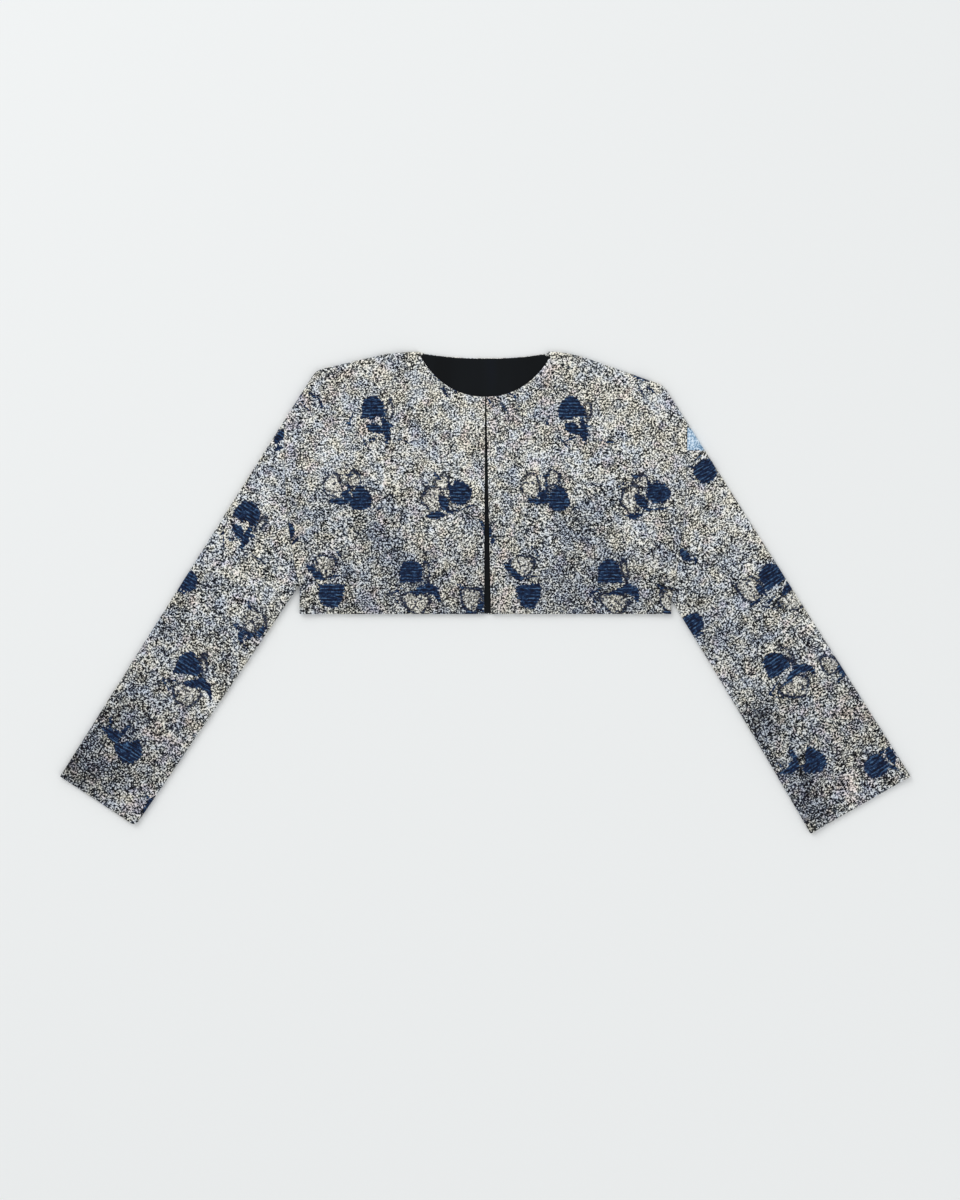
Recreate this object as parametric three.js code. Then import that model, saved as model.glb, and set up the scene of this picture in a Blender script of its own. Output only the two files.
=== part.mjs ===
// A cropped, collarless tweed jacket, laid out flat on its back with the sleeves spread.
// Millimetres. +X runs to the viewer's right, +Y from hem to neck, +Z up off the surface.
// The origin lies under the middle of the outline, on the surface. "Right" and "left" are the wearer's,
// so the right front and right sleeve lie on the -X side.
import * as THREE from 'three';

// Cloth
const WALL = 2.2;            // tweed with its interlining
const LINING = 0.9;          // satin back lining
const GAP = 0.3;             // between pieces that lie on or meet each other
const ROLL = 4;              // radius of the soft roll where front turns into back, at seams and sleeve folds

// Heights of the top face above the surface
const BODY_LEVEL = WALL + GAP + LINING + GAP + WALL + 0.2;
const SLEEVE_LEVEL = 2 * WALL + 0.8;
const LEVEL_CHANGE = { from: 258, to: 330 };    // outward x over which the body level falls to the sleeve's
const EDGE_RISE = { height: 1.5, width: 26 };   // the cloth stands a little higher beside a roll

// Neck and hem, shared by both halves
const NECK = { half: 84.5, y: 306, frontDepth: 57.2, backDepth: 8.4, fullness: 2.2, sharpness: 0.8 };
const HEM_Y = -27.3;
const HEM_HALF = 236;

// Each half as it lies: x outwards from the centre front, y up from the origin. armholeTop and cuffOuter are the
// ends of the sleeve's straight outer fold. frontEdge is how far the front's free edge stands off centre.
const HALVES = {
  right: {
    sign: -1,
    crest: { x: 117, y: 305.6 },
    shoulder: { x: 215.2, y: 282.4 },
    armholeTop: { x: 255.3, y: 219.4 },
    armpitY: 9.5,
    cuffOuter: { x: 540.4, y: -233.6 },
    cuffInner: { x: 444.9, y: -296.6 },
    cuffRound: 8,
    underarmBow: 0,
    frontEdge: { neck: 0.5, hem: 1.6 },
  },
  left: {
    sign: 1,
    crest: { x: 106, y: 305.6 },
    shoulder: { x: 226.6, y: 263 },
    armholeTop: { x: 256, y: 216.5 },
    armpitY: -9.6,
    cuffOuter: { x: 540.4, y: -233.7 },
    cuffInner: { x: 413.2, y: -306.4 },
    cuffRound: 1.5,
    underarmBow: 1.4,
    frontEdge: { neck: 0.9, hem: 7.1 },
  },
};
const ARMHOLE_HOOK = { x: 254, y: 78 };        // the armhole runs straight down to about here, then in
const CORNER_ROUND = { shoulder: 9, crest: 26 };

// Low, soft ridges in the top layer: centre, crest's direction in degrees, half length, half width, height.
const RIDGES = [
  { x: 150, y: 150, turn: 74, length: 90, width: 20, height: 0.7 },
  { x: 205, y: 70, turn: 112, length: 70, width: 16, height: 0.9 },
  { x: 60, y: 60, turn: 82, length: 80, width: 24, height: 0.6 },
  { x: -120, y: 120, turn: 100, length: 100, width: 22, height: 0.8 },
  { x: -200, y: 40, turn: 66, length: 60, width: 15, height: 1.0 },
  { x: -45, y: 150, turn: 93, length: 70, width: 18, height: 0.5 },
  { x: 300, y: 60, turn: 22, length: 60, width: 17, height: 1.6 },
  { x: 352, y: -30, turn: 41, length: 66, width: 15, height: 1.9 },
  { x: 398, y: -128, turn: 12, length: 58, width: 19, height: 1.4 },
  { x: 455, y: -190, turn: 34, length: 54, width: 16, height: 1.6 },
  { x: -296, y: 52, turn: 152, length: 56, width: 16, height: 1.7 },
  { x: -345, y: -60, turn: 171, length: 62, width: 18, height: 1.5 },
  { x: -408, y: -118, turn: 140, length: 60, width: 14, height: 1.9 },
  { x: -462, y: -214, turn: 160, length: 50, width: 17, height: 1.3 },
];

// Shares along each edge at which the sections are drawn, close together where the cloth rolls over.
const NECK_SHARE = 0.66;       // share of a front's top edge that is shoulder; the rest is neckline
const ARMPIT_SHARE = 0.86;     // share of a side edge that is armhole; the rest is side seam
const SHOULDER_COLUMNS = [0, 0.0025, 0.007, 0.014, 0.03, 0.08, 0.15, 0.24, 0.31, 0.39, 0.48, 0.56, 0.62];
const COLUMNS = [...SHOULDER_COLUMNS, NECK_SHARE, 0.68, 0.705, 0.74, 0.79, 0.85, 0.92, 1];
const ARMHOLE_ROWS = [0, 0.002, 0.006, 0.013, 0.026, 0.05, 0.1, 0.17, 0.25, 0.34, 0.43, 0.52, 0.61, 0.7, 0.78];
const ARMPIT_ROWS = [0.825, 0.846, 0.855, ARMPIT_SHARE];
const ROWS = [...ARMHOLE_ROWS, ...ARMPIT_ROWS, 0.93, 1];
const SLEEVE_ACROSS = [...ARMHOLE_ROWS.map((v) => v / ARMPIT_SHARE), 0.94, 0.967, 0.986, 0.996, 1];
const SLEEVE_RINGS = 19;
const LINING_TOP_ROW = 7;      // the first row at which the lining's side edge leaves the shoulder
const SAME_DISTANCE = 1e-6;    // two edges this nearly as far count as one
const ON_EDGE = 0.02;          // a point this near an edge counts as on it
const ROLL_SAMPLES = 160;      // stretches that stand for a curved silhouette edge
const LINING_STOP = { roll: ROLL + 2.2, armhole: 2.4, neck: 0.5, hem: 1.2 };   // short of the back's edges

const v2 = (x, y) => new THREE.Vector2(x, y);
const { clamp, degToRad, smoothstep } = THREE.MathUtils;
const mix = (a, b, share) => a + (b - a) * share;

// A path through the given corners, each cut back by its own rounding.
function roundedPath(corners) {
  const path = new THREE.Path();
  path.moveTo(corners[0].x, corners[0].y);
  for (let i = 1; i < corners.length - 1; i++) {
    const corner = v2(corners[i].x, corners[i].y);
    const before = v2(corners[i - 1].x, corners[i - 1].y).sub(corner).setLength(corners[i].round).add(corner);
    const after = v2(corners[i + 1].x, corners[i + 1].y).sub(corner).setLength(corners[i].round).add(corner);
    path.lineTo(before.x, before.y);
    path.quadraticCurveTo(corner.x, corner.y, after.x, after.y);
  }
  const end = corners[corners.length - 1];
  path.lineTo(end.x, end.y);
  return path;
}

// The curves of one half, all in outward x.
function halfOutline(half) {
  const neck = { x: NECK.half, y: NECK.y };
  const shoulder = roundedPath([
    half.armholeTop,
    { ...half.shoulder, round: CORNER_ROUND.shoulder },
    { ...half.crest, round: CORNER_ROUND.crest },
    neck,
  ]);
  const sleeveFold = new THREE.LineCurve(
    v2(half.armholeTop.x, half.armholeTop.y), v2(half.cuffOuter.x, half.cuffOuter.y));
  const armpit = v2(HEM_HALF, half.armpitY);
  const armhole = new THREE.CubicBezierCurve(
    v2(half.armholeTop.x, half.armholeTop.y),
    v2(half.armholeTop.x, mix(half.armholeTop.y, ARMHOLE_HOOK.y, 0.5)),
    v2(ARMHOLE_HOOK.x, ARMHOLE_HOOK.y),
    armpit);
  const side = new THREE.LineCurve(armpit, v2(HEM_HALF, HEM_Y));
  const corner = v2(half.cuffInner.x, half.cuffInner.y);
  const along = corner.clone().sub(armpit).normalize();
  const cuffEnd = corner.clone().addScaledVector(along, -half.cuffRound);
  const cuffBend = v2(half.cuffOuter.x, half.cuffOuter.y).sub(corner).setLength(half.cuffRound).add(corner);
  const cuff = new THREE.Path()
    .moveTo(half.cuffOuter.x, half.cuffOuter.y)
    .lineTo(cuffBend.x, cuffBend.y)
    .quadraticCurveTo(corner.x, corner.y, cuffEnd.x, cuffEnd.y);
  const middle = armpit.clone().lerp(cuffEnd, 0.5);
  middle.addScaledVector(v2(-along.y, along.x), 2 * half.underarmBow);
  const underarm = new THREE.QuadraticBezierCurve(armpit, middle, cuffEnd);
  const pastCuff = new THREE.LineCurve(cuffEnd, corner.clone().addScaledVector(along, half.cuffRound));
  return { shoulder, sleeveFold, armhole, side, underarm, pastCuff, cuff };
}

const OUTLINES = { right: halfOutline(HALVES.right), left: halfOutline(HALVES.left) };

const neckCurve = (x, depth) =>
  NECK.y - depth * Math.pow(Math.max(0, 1 - Math.pow(Math.abs(x) / NECK.half, NECK.fullness)), NECK.sharpness);

// The edges that roll over, as short straight stretches with the cloth on their inner side.
function rollStretches(curves, inside) {
  const stretches = [];
  for (const curve of curves) {
    const points = curve.getSpacedPoints(curve.isLineCurve ? 1 : ROLL_SAMPLES);
    for (let i = 1; i < points.length; i++) {
      const along = points[i].clone().sub(points[i - 1]).normalize();
      const inward = v2(-along.y, along.x);
      if (inward.dot(inside.clone().sub(points[i - 1])) < 0) inward.negate();
      stretches.push({ a: points[i - 1], b: points[i], inward });
    }
  }
  return stretches;
}

// How far a point lies in from the nearest rolled edge, and which way inwards is there.
function fromRoll(point, stretches) {
  let best = { distance: Infinity, inward: stretches[0].inward };
  for (const { a, b, inward } of stretches) {
    const span = b.clone().sub(a);
    const share = clamp(point.clone().sub(a).dot(span) / span.lengthSq(), 0, 1);
    const away = point.clone().sub(a).addScaledVector(span, -share);
    const distance = away.length();
    if (distance < best.distance - SAME_DISTANCE) {
      best = { distance, inward: distance > ON_EDGE ? away.normalize() : inward };
    }
  }
  return best;
}

function ridgeHeight(x, y) {
  let height = 0;
  for (const ridge of RIDGES) {
    const turn = degToRad(ridge.turn);
    const along = (x - ridge.x) * Math.cos(turn) + (y - ridge.y) * Math.sin(turn);
    const across = -(x - ridge.x) * Math.sin(turn) + (y - ridge.y) * Math.cos(turn);
    height += ridge.height * Math.exp(-((along / ridge.length) ** 2) - (across / ridge.width) ** 2);
  }
  return height;
}

// Top face height away from any roll, in the part's own x.
function topLevel(x, y, distance) {
  const level = mix(BODY_LEVEL, SLEEVE_LEVEL, smoothstep(Math.abs(x), LEVEL_CHANGE.from, LEVEL_CHANGE.to));
  const inland = smoothstep(distance, ROLL, EDGE_RISE.width);
  return level + ridgeHeight(x, y) * inland + EDGE_RISE.height * (1 - inland);
}

// The outer and inner point of the cloth over one place of the plan. point is in outward x. A top layer's outer
// face looks up and rolls down to mid height; an under layer mirrors it, flat on the surface.
function clothPoints(point, sign, stretches, layer) {
  const { distance, inward } = fromRoll(point, stretches);
  const cosine = clamp(1 - distance / ROLL, 0, 1);
  const sine = Math.sqrt(1 - cosine * cosine);
  const x = sign * point.x;
  const shift = WALL * cosine;
  const inner = point.clone().addScaledVector(inward, shift);
  const seam = layer.seamGap / 2;
  const rise = layer.top ? topLevel(x, point.y, distance) - ROLL - seam : seam - ROLL;
  const outerZ = ROLL + (layer.top ? seam : -seam) + rise * sine;
  const innerZ = outerZ + (layer.top ? -1 : 1) * WALL * sine;
  return {
    outer: new THREE.Vector3(x, point.y, outerZ),
    inner: new THREE.Vector3(sign * inner.x, inner.y, innerZ),
  };
}

// A closed wall between the outer and inner points of a grid. The faces of its side edges, and of a tube's end,
// are all split from an outer point to the next row's inner point, so that two edges at a seam run parallel.
function wallGeometry(cloth, outerUp) {
  const rows = cloth.length;
  const columns = cloth[0].length;
  const points = cloth.flat();
  const index = [];
  const at = (face, row, column) => face * rows * columns + row * columns + column;
  const quad = (a, b, c, d) => index.push(a, b, c, a, c, d);
  for (let row = 0; row < rows - 1; row++) {
    for (let column = 0; column < columns - 1; column++) {
      quad(at(0, row, column), at(0, row + 1, column), at(0, row + 1, column + 1), at(0, row, column + 1));
      quad(at(1, row, column), at(1, row, column + 1), at(1, row + 1, column + 1), at(1, row + 1, column));
    }
  }
  for (let column = 0; column < columns - 1; column++) {
    quad(at(0, 0, column), at(0, 0, column + 1), at(1, 0, column + 1), at(1, 0, column));
    const last = rows - 1;
    quad(at(0, last, column + 1), at(0, last, column), at(1, last, column), at(1, last, column + 1));
  }
  for (let row = 0; row < rows - 1; row++) {
    quad(at(0, row, 0), at(1, row, 0), at(1, row + 1, 0), at(0, row + 1, 0));
    const last = columns - 1;
    quad(at(0, row, last), at(0, row + 1, last), at(1, row + 1, last), at(1, row, last));
  }
  return closedGeometry(points, index, outerUp);
}

function closedGeometry(points, index, keepTurn) {
  if (!keepTurn) {
    for (let i = 0; i < index.length; i += 3) [index[i + 1], index[i + 2]] = [index[i + 2], index[i + 1]];
  }
  const faces = [...points.map((p) => p.outer), ...points.map((p) => p.inner)];
  const positions = faces.flatMap((p) => [p.x, p.y, p.z]);
  const geometry = new THREE.BufferGeometry();
  geometry.setAttribute('position', new THREE.Float32BufferAttribute(positions, 3));
  geometry.setIndex(index);
  geometry.computeVertexNormals();
  return geometry;
}

// Points inside four edge curves, each running with the rows or the columns.
function patchPoint(edges, u, v) {
  const { top, bottom, left, right } = edges;
  return top(u).clone().multiplyScalar(1 - v)
    .addScaledVector(bottom(u), v)
    .addScaledVector(left(v), 1 - u)
    .addScaledVector(right(v), u)
    .addScaledVector(top(0), -(1 - u) * (1 - v))
    .addScaledVector(top(1), -u * (1 - v))
    .addScaledVector(bottom(0), -(1 - u) * v)
    .addScaledVector(bottom(1), -u * v);
}

// Armhole and side seam as one edge from top to hem.
const sideEdge = (outline) => (v) =>
  v <= ARMPIT_SHARE
    ? outline.armhole.getPointAt(v / ARMPIT_SHARE)
    : outline.side.getPointAt((v - ARMPIT_SHARE) / (1 - ARMPIT_SHARE));

// Shoulder and then neckline as one edge from armhole to centre, in outward x.
function topEdge(outline, depth, centreX) {
  return (u) => {
    if (u <= NECK_SHARE) return outline.shoulder.getPointAt(Math.min(1, u / NECK_SHARE));
    const turn = ((u - NECK_SHARE) / (1 - NECK_SHARE)) * (Math.PI / 2);
    const x = mix(centreX, NECK.half, Math.cos(turn));
    return v2(x, neckCurve(x, depth));
  };
}

function bodyRolls(outline) {
  return rollStretches([outline.shoulder, outline.sleeveFold, outline.side], v2(HEM_HALF / 2, NECK.frontDepth));
}

const clothGrid = (edges, sign, rolls, layer) =>
  ROWS.map((v) => COLUMNS.map((u) => clothPoints(patchPoint(edges, u, v), sign, rolls, layer)));

function frontGeometry(half, outline) {
  const edges = {
    top: topEdge(outline, NECK.frontDepth, half.frontEdge.neck),
    bottom: (u) => v2(mix(HEM_HALF, half.frontEdge.hem, u), HEM_Y),
    left: sideEdge(outline),
    right: (v) => v2(
      mix(half.frontEdge.neck, half.frontEdge.hem, v),
      mix(neckCurve(half.frontEdge.neck, NECK.frontDepth), HEM_Y, v)),
  };
  const rolls = bodyRolls(outline);
  const layer = { top: true, seamGap: GAP };
  const cloth = clothGrid(edges, half.sign, rolls, layer);
  return wallGeometry(cloth, half.sign < 0);
}

function backEdges(outline) {
  return {
    top: topEdge(outline, NECK.backDepth, 0),
    bottom: (u) => v2(mix(HEM_HALF, 0, u), HEM_Y),
    left: sideEdge(outline),
    right: (v) => v2(0, mix(NECK.y - NECK.backDepth, HEM_Y, v)),
  };
}

// The back is one piece: the right half's columns, then the left half's in reverse.
function backGeometry() {
  const layer = { top: false, seamGap: GAP };
  const halfRows = Object.entries(HALVES).map(([name, half]) => {
    const outline = OUTLINES[name];
    return clothGrid(backEdges(outline), half.sign, bodyRolls(outline), layer);
  });
  const cloth = halfRows[0].map((row, i) => [...row, ...halfRows[1][i].slice(0, -1).reverse()]);
  return wallGeometry(cloth, false);
}

// The lining lies flat on the inside of the back. Its outline runs from the middle of the neck to the middle of
// the hem and up again on the other half, short of the back's edges.
function liningGeometry() {
  const sides = Object.entries(HALVES).map(([name, half]) => {
    const edges = backEdges(OUTLINES[name]);
    const rolls = bodyRolls(OUTLINES[name]);
    const around = [
      ...COLUMNS.map(edges.top).reverse(),
      ...ROWS.map((v) => edges.left(v).setX(edges.left(v).x - LINING_STOP.armhole)).slice(LINING_TOP_ROW),
      v2(0, HEM_Y),
    ];
    return around.map((point) => {
      const { distance, inward } = fromRoll(point, rolls);
      point.addScaledVector(inward, Math.max(0, LINING_STOP.roll - distance));
      point.x = Math.min(point.x, half.armholeTop.x - LINING_STOP.armhole);
      const neckY = neckCurve(Math.min(point.x, NECK.half), NECK.backDepth) - LINING_STOP.neck;
      return v2(half.sign * point.x, clamp(point.y, HEM_Y + LINING_STOP.hem, neckY));
    });
  });
  const outline = [...sides[0], ...sides[1].slice(1, -1).reverse()];
  const shape = new THREE.Shape(outline);
  return new THREE.ExtrudeGeometry(shape, { depth: LINING, bevelEnabled: false }).translate(0, 0, WALL + GAP);
}

// A sleeve is a flattened tube: rings from armhole to cuff, each with a top and an under layer.
function sleeveGeometry(half, outline) {
  const middle = outline.sleeveFold.getPoint(0.5).lerp(outline.underarm.getPoint(0.5), 0.5);
  const rolls = [
    ...rollStretches([outline.shoulder], v2(HEM_HALF / 2, NECK.frontDepth)),
    ...rollStretches([outline.sleeveFold, outline.underarm, outline.pastCuff], middle),
  ];
  const foldShift = outline.sleeveFold.getTangent(0).multiplyScalar(3 * GAP);
  const underarmShift = outline.underarm.getTangent(0).multiplyScalar(2 * GAP);
  const top = { top: true, seamGap: 0 };
  const under = { top: false, seamGap: 0 };
  const backwards = SLEEVE_ACROSS.slice(1, -1).reverse();
  const rings = Array.from({ length: SLEEVE_RINGS }, (_, ring) => {
    const t = ring / (SLEEVE_RINGS - 1);
    const straight = outline.armhole.getPointAt(1).lerp(outline.cuff.getPointAt(1), t);
    const bow = outline.underarm.getPoint(t).sub(straight);
    const place = (s) => outline.armhole.getPointAt(s).lerp(outline.cuff.getPointAt(s), t)
      .addScaledVector(bow, s)
      .addScaledVector(foldShift, (1 - s) * (1 - t))
      .addScaledVector(underarmShift, s * (1 - t));
    return [
      ...SLEEVE_ACROSS.map((s) => clothPoints(place(s), half.sign, rolls, top)),
      ...backwards.map((s) => clothPoints(place(s), half.sign, rolls, under)),
    ];
  });
  return tubeGeometry(rings, half.sign < 0);
}

// A wall open at both ends, from rings of outer and inner points.
function tubeGeometry(rings, keepTurn) {
  const count = rings[0].length;
  const index = [];
  const at = (face, ring, step) => (face * rings.length + ring) * count + (step % count);
  const quad = (a, b, c, d) => index.push(a, b, c, a, c, d);
  for (let step = 0; step < count; step++) {
    for (let ring = 0; ring < rings.length - 1; ring++) {
      quad(at(0, ring, step), at(0, ring + 1, step), at(0, ring + 1, step + 1), at(0, ring, step + 1));
      quad(at(1, ring, step), at(1, ring, step + 1), at(1, ring + 1, step + 1), at(1, ring + 1, step));
    }
    const end = rings.length - 1;
    if (step < count / 2) quad(at(0, 0, step), at(0, 0, step + 1), at(1, 0, step + 1), at(1, 0, step));
    else quad(at(0, 0, step + 1), at(1, 0, step + 1), at(1, 0, step), at(0, 0, step));
    quad(at(0, end, step + 1), at(0, end, step), at(1, end, step), at(1, end, step + 1));
  }
  return closedGeometry(rings.flat(), index, keepTurn);
}

function namedMesh(name, geometry, material) {
  const mesh = new THREE.Mesh(geometry, material);
  mesh.name = name;
  return mesh;
}

const tweed = new THREE.MeshStandardMaterial({ color: 0x8f8d8c, roughness: 0.85, metalness: 0 });
const satin = new THREE.MeshStandardMaterial({ color: 0x14181d, roughness: 0.5, metalness: 0 });

const jacket = new THREE.Group();
jacket.add(namedMesh('back', backGeometry(), tweed));
jacket.add(namedMesh('back_lining', liningGeometry(), satin));
for (const [name, half] of Object.entries(HALVES)) {
  jacket.add(namedMesh(`front_${name}`, frontGeometry(half, OUTLINES[name]), tweed));
  jacket.add(namedMesh(`sleeve_${name}`, sleeveGeometry(half, OUTLINES[name]), tweed));
}

export default jacket;
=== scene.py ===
import math

import bpy
import numpy as np
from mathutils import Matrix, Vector


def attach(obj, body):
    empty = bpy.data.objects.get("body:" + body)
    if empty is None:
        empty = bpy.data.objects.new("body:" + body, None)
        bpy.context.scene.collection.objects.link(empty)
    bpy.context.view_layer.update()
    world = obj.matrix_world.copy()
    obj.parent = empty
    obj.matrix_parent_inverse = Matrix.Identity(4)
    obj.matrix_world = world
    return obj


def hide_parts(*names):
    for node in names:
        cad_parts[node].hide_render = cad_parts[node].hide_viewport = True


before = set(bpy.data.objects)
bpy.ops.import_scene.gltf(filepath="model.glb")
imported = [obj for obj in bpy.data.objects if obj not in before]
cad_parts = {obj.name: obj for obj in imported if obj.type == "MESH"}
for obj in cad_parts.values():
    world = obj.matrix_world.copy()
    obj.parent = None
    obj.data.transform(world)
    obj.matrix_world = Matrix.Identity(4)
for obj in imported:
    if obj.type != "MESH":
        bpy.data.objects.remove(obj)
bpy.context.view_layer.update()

# The jacket lies flat on its back. Sizes are in millimetres until a mesh is made, and then in metres.
# "Right" and "left" are the wearer's: the right half lies on the -X side, and u runs inwards on each half.
MM = 0.001

# Cloth, as in the solids: walls, the gap at a seam, and the radius of a rolled edge
WALL = 2.2
LINING = 0.9
GAP = 0.3
ROLL = 4.0
# Heights of the top surface over the body and over a sleeve, and how far out one becomes the other
LOFT = {"body": 0.2, "sleeve": 0.8}
BODY_LEVEL = WALL + GAP + LINING + GAP + WALL + LOFT["body"]
SLEEVE_LEVEL = 2 * WALL + LOFT["sleeve"]
LEVEL_CHANGE = (258, 330)
EDGE_RISE = {"height": 1.5, "width": 26}

# Outline
NECK = {"half": 84.5, "y": 306, "front": 57.2, "back": 8.4, "fullness": 2.2, "sharpness": 0.8}
HEM_Y = -27.3
HEM_HALF = 236
HOOK = (254, 78)
SHOULDER_ROUND = 9
CREST_ROUND = 26
# Shares of a half's top edge that is shoulder, and of its side edge that is armhole
NECK_SHARE = 0.66
ARMPIT_SHARE = 0.86
# Points along a curve, and along a neckline where the cloth's distance to it is measured
CURVE_POINTS = 60
NECKLINE_POINTS = 120

HALVES = {
    "right": {
        "sign": -1, "crest": (117, 305.6), "shoulder": (215.2, 282.4), "armhole_top": (255.3, 219.4),
        "armpit_y": 9.5, "cuff_outer": (540.4, -233.6), "cuff_inner": (444.9, -296.6), "cuff_round": 8,
        "underarm_bow": 0, "edge_neck": 0.5, "edge_hem": 1.6,
    },
    "left": {
        "sign": 1, "crest": (106, 305.6), "shoulder": (226.6, 263), "armhole_top": (256, 216.5),
        "armpit_y": -9.6, "cuff_outer": (540.4, -233.7), "cuff_inner": (413.2, -306.4), "cuff_round": 1.5,
        "underarm_bow": 1.4, "edge_neck": 0.9, "edge_hem": 7.1,
    },
}

# Soft ridges: x, y, direction of the crest in degrees, half length, half width, height
RIDGES = [
    (150, 150, 74, 90, 20, 0.7),
    (205, 70, 112, 70, 16, 0.9),
    (60, 60, 82, 80, 24, 0.6),
    (-120, 120, 100, 100, 22, 0.8),
    (-200, 40, 66, 60, 15, 1.0),
    (-45, 150, 93, 70, 18, 0.5),
    (300, 60, 22, 60, 17, 1.6),
    (352, -30, 41, 66, 15, 1.9),
    (398, -128, 12, 58, 19, 1.4),
    (455, -190, 34, 54, 16, 1.6),
    (-296, 52, 152, 56, 16, 1.7),
    (-345, -60, 171, 62, 18, 1.5),
    (-408, -118, 140, 60, 14, 1.9),
    (-462, -214, 160, 50, 17, 1.3),
]

# Fineness of the meshes: size of a cell in the open cloth, size at an edge and growth from there, and how
# many outer cells one inner cell spans
CELL = {"front": 1.15, "sleeve": 1.25, "back": 2.2, "lining": 2.4}
FIRST_CELL = 0.16
CELL_GROWTH = 1.35
INNER_STEP = 4
# Lengths over which the cells are counted
FRONT_SPAN = {"u": 250, "v": 325}
BACK_SPAN = {"u": 250, "v": 333}
SLEEVE_SPAN = {"s": 135, "t": 460}

FREE_EDGE_ROUND = 1.0
SEAM_EDGE_ROUND = 0.45

# Loops of the yarn, raised from the cloth: size of a loop, height, seed. They are lower on the underside.
LOOPS = [(2.7, 0.26, 11), (1.6, 0.12, 12)]
TOPSIDE = {"loops": 1.0, "seed": 0}
UNDERSIDE = {"loops": 0.5, "seed": 40}
# Lattice of random heights: points each way, and its shift from the jacket's middle
LATTICE = {"points": 512, "shift": 200.5}

# Points measured at once against the lines, and lengths that count as none
BATCH = 4000
NO_LENGTH = 1e-9
ON_EDGE = 0.02


def mix(a, b, share):
    return a + (b - a) * share


def smoothstep(value, low, high):
    t = np.clip((value - low) / (high - low), 0, 1)
    return t * t * (3 - 2 * t)


def line(a, b):
    return np.array([a, b], float)


def bezier(*controls):
    """Points along a curve through its first and last control."""
    t = np.linspace(0, 1, CURVE_POINTS)[:, None]
    points = [np.array(c, float) * np.ones_like(t) for c in controls]
    while len(points) > 1:
        points = [mix(p, q, t) for p, q in zip(points, points[1:])]
    return points[0]


def rounded(corners, radii):
    """A line through corners, each inner one cut back by its own radius."""
    pieces = [np.array(corners[:1], float)]
    for before, corner, after, radius in zip(corners, corners[1:], corners[2:], radii):
        before, corner, after = (np.array(p, float) for p in (before, corner, after))
        start = corner + (before - corner) * radius / np.linalg.norm(before - corner)
        end = corner + (after - corner) * radius / np.linalg.norm(after - corner)
        pieces.append(bezier(start, corner, end))
    pieces.append(np.array(corners[-1:], float))
    return np.vstack(pieces)


def along(path, share):
    """Points at shares of a line's length."""
    lengths = np.concatenate([[0], np.cumsum(np.linalg.norm(np.diff(path, axis=0), axis=1))])
    at = np.asarray(share, float) * lengths[-1]
    return np.stack([np.interp(at, lengths, path[:, i]) for i in range(2)], axis=-1)


def outline_of(half):
    """The named lines of one half, all on the side where x is above 0."""
    top = np.array(half["armhole_top"], float)
    armpit = np.array([HEM_HALF, half["armpit_y"]], float)
    corner = np.array(half["cuff_inner"], float)
    outer = np.array(half["cuff_outer"], float)
    axis = (corner - armpit) / np.linalg.norm(corner - armpit)
    cuff_end = corner - axis * half["cuff_round"]
    middle = mix(armpit, cuff_end, 0.5) + np.array([-axis[1], axis[0]]) * 2 * half["underarm_bow"]
    neck = (NECK["half"], NECK["y"])
    return {
        "shoulder": rounded([top, half["shoulder"], half["crest"], neck], [SHOULDER_ROUND, CREST_ROUND]),
        "fold": line(top, outer),
        "armhole": bezier(top, (top[0], mix(top[1], HOOK[1], 0.5)), HOOK, armpit),
        "side": line(armpit, (HEM_HALF, HEM_Y)),
        "underarm": bezier(armpit, middle, cuff_end),
        "past_cuff": line(cuff_end, corner + axis * half["cuff_round"]),
        "cuff": rounded([outer, corner, cuff_end], [half["cuff_round"]]),
    }


OUTLINES = {name: outline_of(half) for name, half in HALVES.items()}


def neck_y(x, depth):
    """Height of a neckline that goes down by its depth in the middle."""
    inside = np.maximum(0, 1 - (np.abs(x) / NECK["half"]) ** NECK["fullness"])
    return NECK["y"] - depth * inside ** NECK["sharpness"]


def nearest(points, lines):
    """How far each point lies from the nearest of the lines, and the way from that line to the point."""
    flat = points.reshape(-1, 2)
    starts = np.vstack([path[:-1] for path in lines])
    spans = np.vstack([np.diff(path, axis=0) for path in lines])
    keep = np.linalg.norm(spans, axis=1) > NO_LENGTH
    starts, spans = starts[keep], spans[keep]
    distance = np.empty(len(flat))
    away = np.empty_like(flat)
    for i in range(0, len(flat), BATCH):
        part = flat[i:i + BATCH, None, :] - starts[None]
        share = np.clip((part * spans).sum(2) / (spans ** 2).sum(1), 0, 1)
        part = part - share[..., None] * spans
        length = np.sqrt((part ** 2).sum(2))
        best = length.argmin(1)
        rows = np.arange(len(best))
        distance[i:i + BATCH] = length[rows, best]
        away[i:i + BATCH] = part[rows, best]
    return distance.reshape(points.shape[:-1]), away.reshape(points.shape)


def turned(x, y, degrees):
    """The same places, measured along axes turned by an angle."""
    c, s = math.cos(math.radians(degrees)), math.sin(math.radians(degrees))
    return x * c + y * s, -x * s + y * c


def ridge_height(x, y):
    height = np.zeros_like(x)
    for cx, cy, turn, length, width, top in RIDGES:
        lengthwise, across = turned(x - cx, y - cy, turn)
        height += top * np.exp(-((lengthwise / length) ** 2) - (across / width) ** 2)
    return height


def top_level(x, y, distance):
    """Height of the top surface, raised a little along its rolled edges."""
    level = mix(BODY_LEVEL, SLEEVE_LEVEL, smoothstep(np.abs(x), *LEVEL_CHANGE))
    inland = smoothstep(distance, ROLL, EDGE_RISE["width"])
    return level + ridge_height(x, y) * inland + EDGE_RISE["height"] * (1 - inland)


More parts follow.
